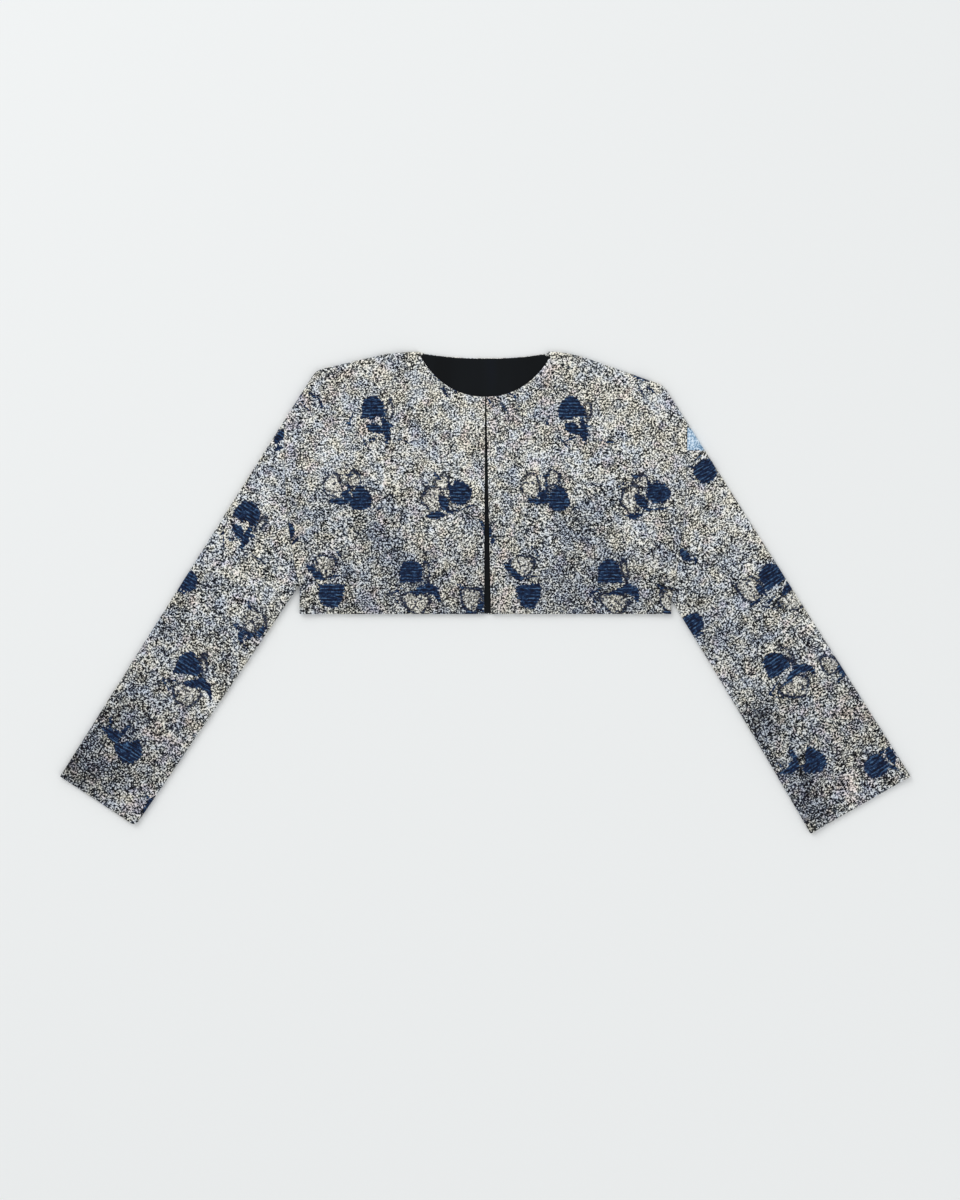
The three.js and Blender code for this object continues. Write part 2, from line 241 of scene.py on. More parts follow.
def value_noise(x, y, cell, seed):
    """Smooth random heights from -1 to 1, about a cell apart."""
    points = LATTICE["points"]
    lattice = np.random.default_rng(seed).uniform(-1, 1, (points, points))
    gx = x / cell + LATTICE["shift"]
    gy = y / cell + LATTICE["shift"]
    ix = np.floor(gx).astype(int)
    iy = np.floor(gy).astype(int)
    fx = smoothstep(gx - ix, 0, 1)
    fy = smoothstep(gy - iy, 0, 1)

    def corner(step_x, step_y):
        return lattice[(ix + step_x) % points, (iy + step_y) % points]

    return mix(mix(corner(0, 0), corner(1, 0), fx), mix(corner(0, 1), corner(1, 1), fx), fy)


def loop_height(x, y, seed):
    return sum(height * value_noise(x, y, cell, seed + own) for cell, height, own in LOOPS)


def inward_of(away, distance, fallback):
    """Unit vectors from an edge to the cloth. On the edge itself they are the fallback."""
    unit = away / np.maximum(distance, NO_LENGTH)[..., None]
    return np.where((distance > ON_EDGE)[..., None], unit, fallback)


# A place inside either half of the body, to which the cloth at its edges turns
BODY_MIDDLE = (HEM_HALF / 2, 60.0)


def cloth_points(plan, sign, rolls, top, gap, free_edges=(), loops=0.0, seed=0):
    """Outer and inner points over a grid of plan points. free_edges are (lines, rounding) pairs."""
    distance, away = nearest(plan, rolls)
    on_body = plan[..., 0].min() < HEM_HALF / 2
    middle = np.array(BODY_MIDDLE) if on_body else plan.mean((0, 1))
    to_middle = (middle - plan) / np.linalg.norm(middle - plan, axis=-1, keepdims=True)
    inward = inward_of(away, distance, to_middle)
    cosine = np.clip(1 - distance / ROLL, 0, 1)
    sine = np.sqrt(1 - cosine ** 2)
    x, y = sign * plan[..., 0], plan[..., 1]
    rise = top_level(x, y, distance) - ROLL - gap / 2 if top else gap / 2 - ROLL
    outer_z = ROLL + (gap / 2 if top else -gap / 2) + rise * sine
    inner_z = outer_z + (-WALL if top else WALL) * sine
    inner = plan + inward * (WALL * cosine)[..., None]
    outer = plan.copy()
    if loops:
        raised = loops * loop_height(x, y, seed)
        outer = outer - inward * (raised * cosine)[..., None]
        outer_z = outer_z + (raised if top else np.abs(raised)) * sine
    for lines, radius in free_edges:
        edge_distance, _ = nearest(plan, lines)
        short = np.clip(1 - edge_distance / radius, 0, 1)
        drop = radius * (1 - np.sqrt(1 - short ** 2))
        outer_z = outer_z - drop * sine if top else outer_z + drop * sine
    if not top:
        outer_z = np.maximum(outer_z, 0)
    return (
        np.stack([sign * outer[..., 0], outer[..., 1], outer_z], -1),
        np.stack([sign * inner[..., 0], inner[..., 1], inner_z], -1),
    )


def shares(length, cell, fine_start=True, fine_end=True):
    """Shares from 0 to 1 along a length, with cells that grow from fine ends to the open cloth.

    The number of cells is a whole number of the inner grid's steps.
    """
    steps = []
    size = FIRST_CELL
    while size < cell:
        steps.append(size)
        size *= CELL_GROWTH
    start = np.cumsum(steps) if fine_start else np.array([])
    end = length - np.cumsum(steps)[::-1] if fine_end else np.array([])
    low = start[-1] if len(start) else 0
    high = end[0] if len(end) else length
    known = len(start) + len(end)
    count = int(math.ceil((high - low) / cell))
    count += (-(count + known)) % INNER_STEP
    middle = np.linspace(low, high, count + 1)
    first = [0] if fine_start else []
    last = [length] if fine_end else []
    return np.concatenate([first, start[:-1], middle, end[1:], last]) / length


def patch(edges, u, v):
    """A grid of plan points inside four edges, rows over v and columns over u."""
    top, bottom = edges["top"](u), edges["bottom"](u)
    left, right = edges["left"](v), edges["right"](v)
    uu, vv = u[None, :, None], v[:, None, None]
    grid = top[None] * (1 - vv) + bottom[None] * vv + left[:, None] * (1 - uu) + right[:, None] * uu
    corners = (
        top[0] * (1 - uu) * (1 - vv) + top[-1] * uu * (1 - vv)
        + bottom[0] * (1 - uu) * vv + bottom[-1] * uu * vv
    )
    return grid - corners


def body_edges(outline, depth, centre_neck, centre_hem):
    """Four edges of one half of the body, each a function from shares to points."""
    def top(u):
        turn = np.clip((u - NECK_SHARE) / (1 - NECK_SHARE), 0, 1) * math.pi / 2
        x = mix(centre_neck, NECK["half"], np.cos(turn))
        neck = np.stack([x, neck_y(x, depth)], -1)
        shoulder = along(outline["shoulder"], np.minimum(u / NECK_SHARE, 1))
        return np.where((u <= NECK_SHARE)[:, None], shoulder, neck)

    def left(v):
        armhole = along(outline["armhole"], np.minimum(v / ARMPIT_SHARE, 1))
        side = along(outline["side"], np.clip((v - ARMPIT_SHARE) / (1 - ARMPIT_SHARE), 0, 1))
        return np.where((v <= ARMPIT_SHARE)[:, None], armhole, side)

    neck_end = float(neck_y(np.array(centre_neck), depth))
    return {
        "top": top,
        "bottom": lambda u: np.stack([mix(HEM_HALF, centre_hem, u), np.full_like(u, HEM_Y)], -1),
        "left": left,
        "right": lambda v: np.stack([mix(centre_neck, centre_hem, v), mix(neck_end, HEM_Y, v)], -1),
    }


# Meshes

def mesh_object(name, points, faces, attributes):
    """A mesh from points and from lists of faces, each an array with a row for a face."""
    corners = points[np.concatenate([part[:, :3] for part in faces])]
    volume = np.einsum("ij,ij->", corners[:, 0], np.cross(corners[:, 1], corners[:, 2]))
    faces = [part[:, ::-1] if volume < 0 else part for part in faces]
    sizes = np.concatenate([np.full(len(part), part.shape[1]) for part in faces])
    face_points = np.concatenate([part.ravel() for part in faces])
    mesh = bpy.data.meshes.new(name)
    mesh.vertices.add(len(points))
    mesh.vertices.foreach_set("co", (points * MM).astype(np.float32).ravel())
    mesh.loops.add(len(face_points))
    mesh.loops.foreach_set("vertex_index", face_points.astype(np.int32))
    mesh.polygons.add(len(sizes))
    mesh.polygons.foreach_set("loop_start", (np.cumsum(sizes) - sizes).astype(np.int32))
    mesh.update(calc_edges=True)
    mesh.shade_smooth()
    for key, values in attributes.items():
        attribute = mesh.attributes.new(key, "FLOAT_VECTOR", "POINT")
        attribute.data.foreach_set("vector", values.astype(np.float32).ravel())
    piece = bpy.data.objects.new(name, mesh)
    bpy.context.scene.collection.objects.link(piece)
    return piece


def grid_faces(ids):
    return np.stack([ids[:-1, :-1], ids[1:, :-1], ids[1:, 1:], ids[:-1, 1:]], -1).reshape(-1, 4)


def rim_faces(fine, coarse, flipped):
    """Triangles between a fine edge and a coarse one that has a point at every INNER_STEP-th."""
    cells = np.arange(len(coarse) - 1)
    half = INNER_STEP // 2
    faces = [np.stack([fine[cells * INNER_STEP + half], coarse[cells], coarse[cells + 1]], -1)]
    for step in range(INNER_STEP):
        at = cells * INNER_STEP + step
        tip = coarse[cells] if step < half else coarse[cells + 1]
        faces.append(np.stack([fine[at + 1], fine[at], tip], -1))
    faces = np.vstack(faces)
    return faces[:, ::-1] if flipped else faces


def grids(outer, inner):
    """Point numbers of the outer and inner grids, and their points in one list."""
    fine = np.arange(outer.shape[0] * outer.shape[1]).reshape(outer.shape[:2])
    coarse = fine.size + np.arange(inner.shape[0] * inner.shape[1]).reshape(inner.shape[:2])
    return fine, coarse, np.vstack([outer.reshape(-1, 3), inner.reshape(-1, 3)])


def wall(name, outer, inner, attributes_at):
    """A closed wall between a fine outer grid and a coarse inner one."""
    fine, coarse, points = grids(outer, inner)
    faces = [grid_faces(fine), grid_faces(coarse)[:, ::-1]]
    every = slice(None)
    rims = [(0, every, True), (-1, every, False), (every, 0, False), (every, -1, True)]
    for row, column, flipped in rims:
        faces.append(rim_faces(fine[row, column], coarse[row, column], flipped))
    return mesh_object(name, points, faces, attributes_at(points))


def tube(name, outer, inner, attributes_at):
    """A wall open at both ends. Rows are rings, and the last column joins the first."""
    fine, coarse, points = grids(outer, inner)
    fine, coarse = (np.hstack([ids, ids[:, :1]]) for ids in (fine, coarse))
    faces = [grid_faces(fine), grid_faces(coarse)[:, ::-1]]
    faces += [rim_faces(fine[row], coarse[row], row == 0) for row in (0, -1)]
    return mesh_object(name, points, faces, attributes_at(points))


# Woven flowers, each a few plain shapes round its own middle, in the cloth's own directions.
# Columns: shape, x, y, turn in degrees, half width, length. The length of a petal, point or disc is from
# its base or middle to its top, and that of a lens or loop is half of the whole.
FLOWERS = {
    "tall": [
        ("petal", -1, -12, 7, 15.8, 28), ("lens", -9, -9, 62, 4.5, 12), ("lens", 13, -27, 10, 4.8, 19),
        ("lens", 0, -26, 66, 6.6, 13), ("loop", 19, -3, -4, 4, 11), ("lens", 17, -22, 84, 2.4, 8),
        ("lens", -12, -44, 38, 1.2, 15), ("lens", -31, -12, 140, 1.4, 9), ("lens", -33, -19, 30, 2.4, 4),
        ("lens", 40, -41, 84, 1.1, 13), ("lens", -3, -39, 112, 2.2, 7),
    ],
    "shield": [
        ("point", 0, -7, 3, 14.6, 25), ("lens", -29, -3, 84, 4.4, 14), ("lens", -18, 2, 40, 5.4, 9),
        ("loop", -35, 16, 24, 11, 15), ("loop", -9, 25, -18, 8, 10), ("lens", 20, -12, 97, 1.2, 9),
        ("lens", -22, 8, 120, 3, 8), ("lens", -17, 30, 96, 1.6, 9), ("lens", -16, 16, 12, 1.8, 8),
    ],
    "bud": [
        ("disc", 0, 0, -8, 15, 14), ("loop", -35, -9, 12, 11.5, 17), ("loop", -21, 14, 70, 8.5, 10),
        ("lens", -21, -11, 42, 6.6, 12), ("lens", -29, -29, 98, 4.6, 12), ("lens", -15, -21, 62, 3.2, 9),
        ("lens", 3, -20, 103, 1.3, 14), ("lens", -46, 10, -66, 1.1, 9), ("lens", -3, 16, 105, 2.2, 5),
        ("lens", -12, 9, 30, 3.4, 8), ("lens", -29, 22, 50, 2.4, 6),
    ],
    "dome": [
        ("petal", 0, -13, 2, 14.8, 31), ("loop", 19, 2, 6, 3.8, 12), ("lens", 14, -22, -74, 5, 18),
        ("lens", 33, -27, 15, 4, 11), ("lens", 24, -21, 50, 6, 11), ("loop", 6, -38, -8, 17.5, 13),
        ("lens", -19, -24, -70, 1.3, 12), ("lens", -22, -32, 40, 1.2, 10),
    ],
    "bowl": [
        ("petal", 0, 14, 181, 15.8, 30), ("loop", -8, 36, 14, 14, 13), ("lens", -16, 25, 62, 5, 10),
        ("lens", -26, 34, 45, 3.8, 10), ("lens", 4, 23, 100, 1.6, 8), ("lens", 9, 52, 30, 1.1, 11),
    ],
    "fan": [
        ("petal", 0, 0, 222, 15.5, 29), ("lens", -22, -3, 78, 4.8, 15.5), ("lens", -10, 9, -12, 3.2, 13),
        ("lens", -16, 1, 50, 4.6, 8), ("lens", -31, 9, 20, 1.4, 8),
    ],
    "pod": [
        ("disc", 0, 0, 0, 15.5, 15), ("lens", 23.5, 2, -9, 6, 13), ("lens", 14, 10, -60, 2.4, 9),
        ("lens", 17, -12, 40, 2.6, 8),
    ],
    "seal": [
        ("disc", 0, 0, 0, 15.2, 15), ("lens", -12, 15, 50, 1.5, 11), ("lens", -20, 5, 12, 1.3, 8),
        ("lens", 24, -16, 60, 1.6, 8), ("lens", 31, -23, 20, 1.8, 5), ("lens", 1, 20, 100, 1.3, 6),
    ],
    "button": [
        ("disc", 0, 0, 0, 17, 14), ("lens", 3, -16, 84, 2, 9),
    ],
    "corner": [
        ("loop", -7, 8, 10, 10, 13), ("lens", 6, -7, 60, 6.5, 11), ("lens", -3, -13, 100, 2, 8),
        ("lens", 10, 12, 30, 1.8, 8),
    ],
    "leaf": [
        ("lens", 0, 0, 10, 5.2, 12), ("lens", 7, -13, -24, 2.8, 7), ("lens", -8, 9, 40, 1.5, 6),
    ],
    "curls": [
        ("lens", 3, 3, 62, 2.2, 9), ("lens", 11, -6, 18, 1.6, 8), ("lens", -7, -13, 40, 1.2, 9),
        ("lens", -24, -6, 32, 1.2, 9), ("lens", -14, 3, 100, 1.4, 5),
    ],
    "ring": [
        ("loop", 0, 0, 8, 14, 16), ("lens", 12, -8, 6, 4, 10), ("lens", -3, -17, 92, 2.8, 8),
        ("lens", -12, 16, 52, 1.4, 8),
    ],
    "spray": [
        ("lens", 0, 0, 40, 4.4, 10), ("lens", 10, 7, -20, 3.4, 9), ("lens", -9, 8, 80, 3, 8),
        ("loop", 3, 16, 0, 8, 8), ("lens", 12, -8, 60, 1.5, 8),
    ],
    "sliver": [
        ("lens", 0, 0, 66, 2.6, 13), ("lens", 14, -14, 50, 1.3, 8), ("lens", 2, -16, 30, 1.6, 8),
    ],
}
# Columns: flower, x, y, more turn in degrees. The fronts' flowers come again a repeat further on.
# They lie on the back too.
REPEAT_X = 251.5
BODY_FLOWERS = [
    ("tall", -140, 234, 0), ("shield", -158, 119, 0), ("bud", -32, 126.5, 0), ("dome", -93, 25, 0),
    ("bowl", -196, -3, 0), ("leaf", -249, 79, 0), ("curls", -220, 247, 0), ("ring", -17, -9, 0),
    ("sliver", -55, 272, 0),
]
SLEEVE_FLOWERS = {
    "right": [
        ("tall", -300, 100, 0), ("button", -382, 17, 0), ("ring", -293, -38, 10), ("spray", -311, -56, 0),
        ("dome", -377, -92, 20), ("fan", -455, -189, 0), ("leaf", -428, -270, 0), ("leaf", -262, 197, 0),
    ],
    "left": [
        ("seal", 280, 154, 0), ("dome", 364, 20, 0), ("ring", 336, 4, 0), ("button", 261, -41, 0),
        ("dome", 369, -92, 0), ("corner", 448, -95, 0), ("fan", 405, -211, 0), ("pod", 496, -221, 0),
        ("leaf", 254, 48, 0),
    ],
}
# Degrees by which the cloth's directions turn on a sleeve
SLEEVE_TURN = 32.2
FLOWER_REACH = 75
# The distance given to what lies away from every shape
FAR = 60.0
# Round shapes: how square they are, and the length of the lower part as a share of the upper
PEBBLES = {"point": (1.9, 0.34), "disc": (2.3, 1)}
# A petal's round top, as a share of its half width, and how much wider its base is
PETAL_TOP = 1.15
PETAL_FLARE = 0.15
# A loop is wider at its top, and its edge waves: how many waves go round it, and their height
LOOP_WIDENING = 0.2
LOOP_WAVES = [(3, 0.09), (5, 0.05)]
# From this far inside a loop's line to that far, its cloth turns light
LOOP_INSIDE = (0.5, 3)
# The flowers' outlines are made uneven by moving places a little
WARP = {"cell": 13, "reach": 1.7, "seed": 60}


# Each of these four gives about how far a place lies outside a shape, and less than 0 inside it

def petal(x, y, half_width, length):
    """A petal with straight sides, a round top and a flat base."""
    round_from = length - PETAL_TOP * half_width
    flare = 1 + PETAL_FLARE * np.clip((round_from - y) / length, 0, 1)
    top = np.hypot(x, np.maximum(y - round_from, 0) / PETAL_TOP) - half_width * flare
    return np.maximum(top, -y)


def pebble(x, y, half_width, length, power, below):
    """A round shape, whose lower part has a share of the upper part's length."""
    lengths = np.where(y < 0, length * below, length)
    reach = (np.abs(x / half_width) ** power + np.abs(y / lengths) ** power) ** (1 / power)
    return (reach - 1) * half_width


def lens(x, y, half_width, half_length):
    """A leaf with two pointed ends."""
    radius = (half_length ** 2 + half_width ** 2) / (2 * half_width)
    return np.hypot(np.abs(x) + radius - half_width, y) - radius


def loop(x, y, half_width, half_length):
    """An uneven ring."""
    waist = half_width * (1 + LOOP_WIDENING * np.clip(y / half_length, -1, 1))
    angle = np.arctan2(y, x)
    uneven = np.zeros_like(x)
    for (waves, height), start in zip(LOOP_WAVES, (half_width, half_length)):
        uneven += height * np.sin(waves * angle + start)
    return (np.hypot(x / waist, y / half_length) - 1 - uneven) * min(half_width, half_length)


def warped(x, y):
    cell, seed = WARP["cell"], WARP["seed"]
    move_x = WARP["reach"] * value_noise(x, y, cell, seed)
    move_y = WARP["reach"] * value_noise(x, y, cell, seed + 1)
    return x + move_x, y + move_y


def flower_fields(x, y, places):
    """Distances to the filled and the outlined shapes, and how far a place lies inside an outline."""
    filled = np.full_like(x, FAR)
    outlined = np.full_like(x, FAR)
    inside = np.zeros_like(x)
    x, y = warped(x, y)
    for kind, centre_x, centre_y, turn in places:
        near = (np.abs(x - centre_x) < FLOWER_REACH) & (np.abs(y - centre_y) < FLOWER_REACH)
        if not near.any():
            continue
        own_x, own_y = turned(x[near] - centre_x, y[near] - centre_y, turn)
        for shape, shape_x, shape_y, shape_turn, half_width, length in FLOWERS[kind]:
            px, py = turned(own_x - shape_x, own_y - shape_y, shape_turn)
            size = (half_width, length)
            if shape == "loop":
                far = loop(px, py, *size)
                inside[near] = np.maximum(inside[near], smoothstep(-far, *LOOP_INSIDE))
                outlined[near] = np.minimum(outlined[near], np.abs(far))
                continue
            if shape == "petal":
                far = petal(px, py, *size)
            elif shape == "lens":
                far = lens(px, py, *size)
            else:
                far = pebble(px, py, *size, *PEBBLES[shape])
            filled[near] = np.minimum(filled[near], far)
    return filled, outlined, inside


def places_on(name):
    if name.startswith("sleeve"):
        half = name.split("_")[1]
        turn = HALVES[half]["sign"] * SLEEVE_TURN
        return [(kind, x, y, turn + more) for kind, x, y, more in SLEEVE_FLOWERS[half]]
    return [(kind, x + shift, y, turn) for kind, x, y, turn in BODY_FLOWERS for shift in (0, REPEAT_X)]


# Painted shading and tints of the cloth. The lightness is painted shade and light: darker towards the hem
# and the cuffs and in soft patches, lighter in others. Warmth and rose are the cloth's own tints.
# Bands run up the body and up each sleeve: y, lightness, warmth.
# Patches lie over them: x, y, radius, lightness, warmth (-1 blue to 1 cream), rose (0 to 1).
# The body's patches come again a repeat further on.
SHADING_AND_TINT_BANDS = {
    "body": [(-27, 0.82, -0.1), (40, 0.84, -0.25), (110, 0.92, 0.0), (180, 1.0, 0.3), (306, 0.98, 0.3)],
    "right": [(-306, 0.80, 0.0), (-150, 0.82, -0.1), (0, 0.93, 0.0), (120, 0.99, 0.15), (220, 1.0, 0.1)],
    "left": [(-306, 0.84, 0.0), (-150, 0.84, -0.1), (0, 0.92, 0.0), (120, 0.99, 0.4), (220, 1.0, 0.2)],
}
BODY_SHADING_AND_TINT_PATCHES = [
    (-92, 261, 24, 1.0, 0.9, 0.1), (-181, 279, 24, 0.97, 0.2, 0.7), (-214, 181, 34, 1.02, 0.5, 0.3),
    (-235, 232, 24, 0.97, -0.1, 0.8), (-23, 185, 30, 1.0, 0.8, 0.0), (-125, 67, 42, 0.80, -0.8, 0.0),
    (-36, -1, 26, 0.80, 0.1, 0.2), (-235, 41, 28, 0.95, 0.4, 0.3), (-112, 181, 30, 0.98, -0.1, 0.0),
    (-130, -13, 28, 0.80, -0.7, 0.2), (-60, 80, 30, 0.98, 0.2, 0.0), (-168, 56, 24, 0.98, 0.2, 0.2),
    (-186, 245, 18, 0.93, -0.5, 0.3), (-116, 292, 18, 0.90, -0.5, 0.2),
]
SLEEVE_SHADING_AND_TINT_PATCHES = {
    "right": [
        (-257, 219, 26, 0.99, 0.0, 0.6), (-290, 126, 28, 1.02, 0.6, 0.1), (-371, 25, 30, 0.9, -0.6, 0.0),
        (-299, 16, 30, 1.0, 0.3, 0.1), (-409, -44, 36, 0.86, -0.7, 0.0), (-350, -128, 26, 0.95, 0.3, 0.1),
        (-468, -171, 36, 0.62, -1.0, 0.1), (-519, -222, 38, 0.48, -0.9, 0.4),
        (-470, -225, 30, 0.62, -1.0, 0.2), (-409, -178, 28, 0.80, 0.4, 0.7),
        (-443, -272, 28, 0.82, 0.2, 1.0),
    ],
    "left": [
        (269, 143, 28, 1.0, 0.9, 0.3), (345, 76, 36, 1.06, 0.6, 0.1), (310, 41, 26, 0.95, -0.3, 0.0),
        (421, -44, 32, 1.0, 0.4, 0.3), (302, -60, 32, 0.84, -0.7, 0.0), (353, -171, 32, 0.64, -1.0, 0.1),
        (403, -229, 30, 0.58, -1.0, 0.2), (421, -280, 28, 0.56, -0.9, 0.4), (454, -153, 36, 0.84, 0.4, 0.7),
        (463, -244, 28, 0.92, 0.2, 1.0), (505, -215, 22, 0.85, -0.2, 0.4),
    ],
}
# The painted shading's lightness is given as seen on a screen
SCREEN_GAMMA = 2.2
# The light-blue band at the fold of the left sleeve
SKY_BAND = {"middle": 195, "half_height": 14, "widest_x": 300}


def shading_and_tints_at(x, y, bands, patches):
    """Painted shading (lightness), warmth and rose of places on the cloth."""
    heights, painted_shading, warmth = np.array(bands).T
    shading_and_tint = np.stack([np.interp(y, heights, painted_shading), np.interp(y, heights, warmth), np.zeros_like(x)])
    for patch_x, patch_y, radius, *own in patches:
        weight = np.exp(-((x - patch_x) ** 2 + (y - patch_y) ** 2) / radius ** 2)
        shading_and_tint = mix(shading_and_tint, np.array(own)[:, None], weight)
    shading_and_tint[0] **= SCREEN_GAMMA
    return shading_and_tint.T


def tweed_attributes(name):
    """What the tweed's material reads at each point of a piece."""
    if name.startswith("sleeve"):
        half = name.split("_")[1]
        turn = HALVES[half]["sign"] * SLEEVE_TURN
        bands = SHADING_AND_TINT_BANDS[half]
        patches = SLEEVE_SHADING_AND_TINT_PATCHES[half]
    else:
        turn = 0
        bands = SHADING_AND_TINT_BANDS["body"]
        patches = [(x + shift, *rest) for x, *rest in BODY_SHADING_AND_TINT_PATCHES for shift in (0, REPEAT_X)]

    def attributes(points):
        x, y, z = points.T
        sky = np.full_like(x, FAR)
        if name == "sleeve_left":
            sky = np.abs(y - SKY_BAND["middle"]) - SKY_BAND["half_height"]
            sky[x > SKY_BAND["widest_x"]] = FAR
        return {
            "grain": np.stack([*turned(x, y, turn), z], -1),
            "flower": np.stack(flower_fields(x, y, places_on(name)), -1),
            # painted shading (lightness), with the cloth's own warmth and rose tints
            "shading_and_tint": shading_and_tints_at(x, y, bands, patches),
            "sky": np.stack([sky, sky, sky], -1),
        }

    return attributes


# Pieces

ENDS = np.array([0, 1.0])
NECKLINE_SHARES = np.linspace(NECK_SHARE, 1, NECKLINE_POINTS)


def body_rolls(outline):
    return [outline["shoulder"], outline["fold"], outline["side"]]


def make_front(name, half, outline):
    edges = body_edges(outline, NECK["front"], half["edge_neck"], half["edge_hem"])
    rolls = body_rolls(outline)
    open_lines = [edges["right"](ENDS), edges["bottom"](ENDS), edges["top"](NECKLINE_SHARES)]
    free = [(open_lines, FREE_EDGE_ROUND), ([outline["armhole"]], SEAM_EDGE_ROUND)]
    u = shares(FRONT_SPAN["u"], CELL["front"])
    v = shares(FRONT_SPAN["v"], CELL["front"])
    plan = patch(edges, u, v)
    inner_plan = patch(edges, u[::INNER_STEP], v[::INNER_STEP])
    outer = cloth_points(plan, half["sign"], rolls, True, GAP, free, **TOPSIDE)[0]
    inner = cloth_points(inner_plan, half["sign"], rolls, True, GAP)[1]
    return wall(f"front_{name}_cloth", outer, inner, tweed_attributes(f"front_{name}"))


def both_halves(grid_of_half):
    """One grid over the right half's columns and then the left half's in reverse."""
    right, left = (grid_of_half(HALVES[name], OUTLINES[name]) for name in ("right", "left"))
    return np.hstack([right, left[:, -2::-1]])


def make_back():
    u = shares(BACK_SPAN["u"], CELL["back"], fine_end=False)
    v = shares(BACK_SPAN["v"], CELL["back"])

    def outer_half(half, outline):
        edges = body_edges(outline, NECK["back"], 0, 0)
        plan = patch(edges, u, v)
        free = [([edges["bottom"](ENDS), edges["top"](NECKLINE_SHARES)], FREE_EDGE_ROUND)]
        return cloth_points(plan, half["sign"], body_rolls(outline), False, GAP, free, **UNDERSIDE)[0]

    def inner_half(half, outline):
        edges = body_edges(outline, NECK["back"], 0, 0)
        plan = patch(edges, u[::INNER_STEP], v[::INNER_STEP])
        return cloth_points(plan, half["sign"], body_rolls(outline), False, GAP)[1]

    return wall("back_cloth", both_halves(outer_half), both_halves(inner_half), tweed_attributes("back"))


# Where the lining stops short: of the rolled edge, of the armhole as a share, of the neck and of the hem
LINING_STOP = {"roll": ROLL + 2.2, "armhole": 0.01, "neck": 0.5, "hem": 1.2}
# Low waves in the lining's top, which lies a little under its full height: pitch, height, phase
LINING_WAVES = [(34, 0.10, 0.6), (57, 0.14, 2.1), (91, 0.12, 4.4)]
LINING_WAVE_SHARE = 0.25
LINING_DROP = 0.1
# The way inwards where the lining's edge gives none
LINING_EDGE_WAY = (-0.6, -0.8)


def make_lining():
    u = shares(BACK_SPAN["u"], CELL["lining"], fine_start=False, fine_end=False)
    v = shares(BACK_SPAN["v"], CELL["lining"], fine_start=False, fine_end=False)

    def grid(fine):
        step = 1 if fine else INNER_STEP

        def of_half(half, outline):
            edges = body_edges(outline, NECK["back"], 0, 0)
            plan = patch(edges, mix(LINING_STOP["armhole"], 1, u[::step]), v[::step])
            distance, away = nearest(plan, body_rolls(outline))
            inward = inward_of(away, distance, np.array(LINING_EDGE_WAY))
            plan = plan + inward * np.maximum(0, LINING_STOP["roll"] - distance)[..., None]
            neck = neck_y(np.minimum(plan[..., 0], NECK["half"]), NECK["back"]) - LINING_STOP["neck"]
            y = np.clip(plan[..., 1], HEM_Y + LINING_STOP["hem"], neck)
            x = half["sign"] * plan[..., 0]
            if not fine:
                return np.stack([x, y, np.full_like(x, WALL + GAP)], -1)
            z = np.full_like(x, WALL + GAP + LINING - LINING_DROP)
            for pitch, height, phase in LINING_WAVES:
                z += LINING_WAVE_SHARE * height * np.sin(x * 2 * math.pi / pitch + phase)
            return np.stack([x, y, z], -1)

        return both_halves(of_half)

    def attributes(points):
        return {"grain": points}

    return wall("back_lining_cloth", grid(True), grid(False), attributes)


# How far from the armhole a sleeve starts, along its fold and along its underarm
SLEEVE_START = {"fold": 3 * GAP, "underarm": 2 * GAP}


def make_sleeve(name, half, outline):
    rolls = [outline["shoulder"], outline["fold"], outline["underarm"], outline["past_cuff"]]
    fold_way = np.diff(outline["fold"], axis=0)[0]
    fold_shift = fold_way / np.linalg.norm(fold_way) * SLEEVE_START["fold"]
    underarm_way = outline["underarm"][1] - outline["underarm"][0]
    underarm_shift = underarm_way / np.linalg.norm(underarm_way) * SLEEVE_START["underarm"]

    def plan_of(s, t):
        start = along(outline["armhole"], s)
        end = along(outline["cuff"], s)
        underarm = along(outline["underarm"], t)
        tt, ss = t[:, None, None], s[None, :, None]
        straight = mix(start[None], end[None], tt)
        bow = underarm - mix(start[-1], end[-1], t[:, None])
        shift = (fold_shift * (1 - ss) + underarm_shift * ss) * (1 - tt)
        return straight + bow[:, None] * ss + shift

    def rings(over, under):
        """Rows that run over the upper layer and back under the lower one."""
        return np.hstack([over, under[:, -2:0:-1]])

    free = [([outline["cuff"]], FREE_EDGE_ROUND), ([outline["armhole"]], SEAM_EDGE_ROUND)]
    s = shares(SLEEVE_SPAN["s"], CELL["sleeve"])
    t = shares(SLEEVE_SPAN["t"], CELL["sleeve"])
    plan = plan_of(s, t)
    inner_plan = plan_of(s[::INNER_STEP], t[::INNER_STEP])
    outer = rings(
        cloth_points(plan, half["sign"], rolls, True, 0, free, **TOPSIDE)[0],
        cloth_points(plan, half["sign"], rolls, False, 0, free, **UNDERSIDE)[0],
    )
    inner = rings(
        cloth_points(inner_plan, half["sign"], rolls, True, 0)[1],
        cloth_points(inner_plan, half["sign"], rolls, False, 0)[1],
    )
    return tube(f"sleeve_{name}_cloth", outer, inner, tweed_attributes(f"sleeve_{name}"))


# Materials

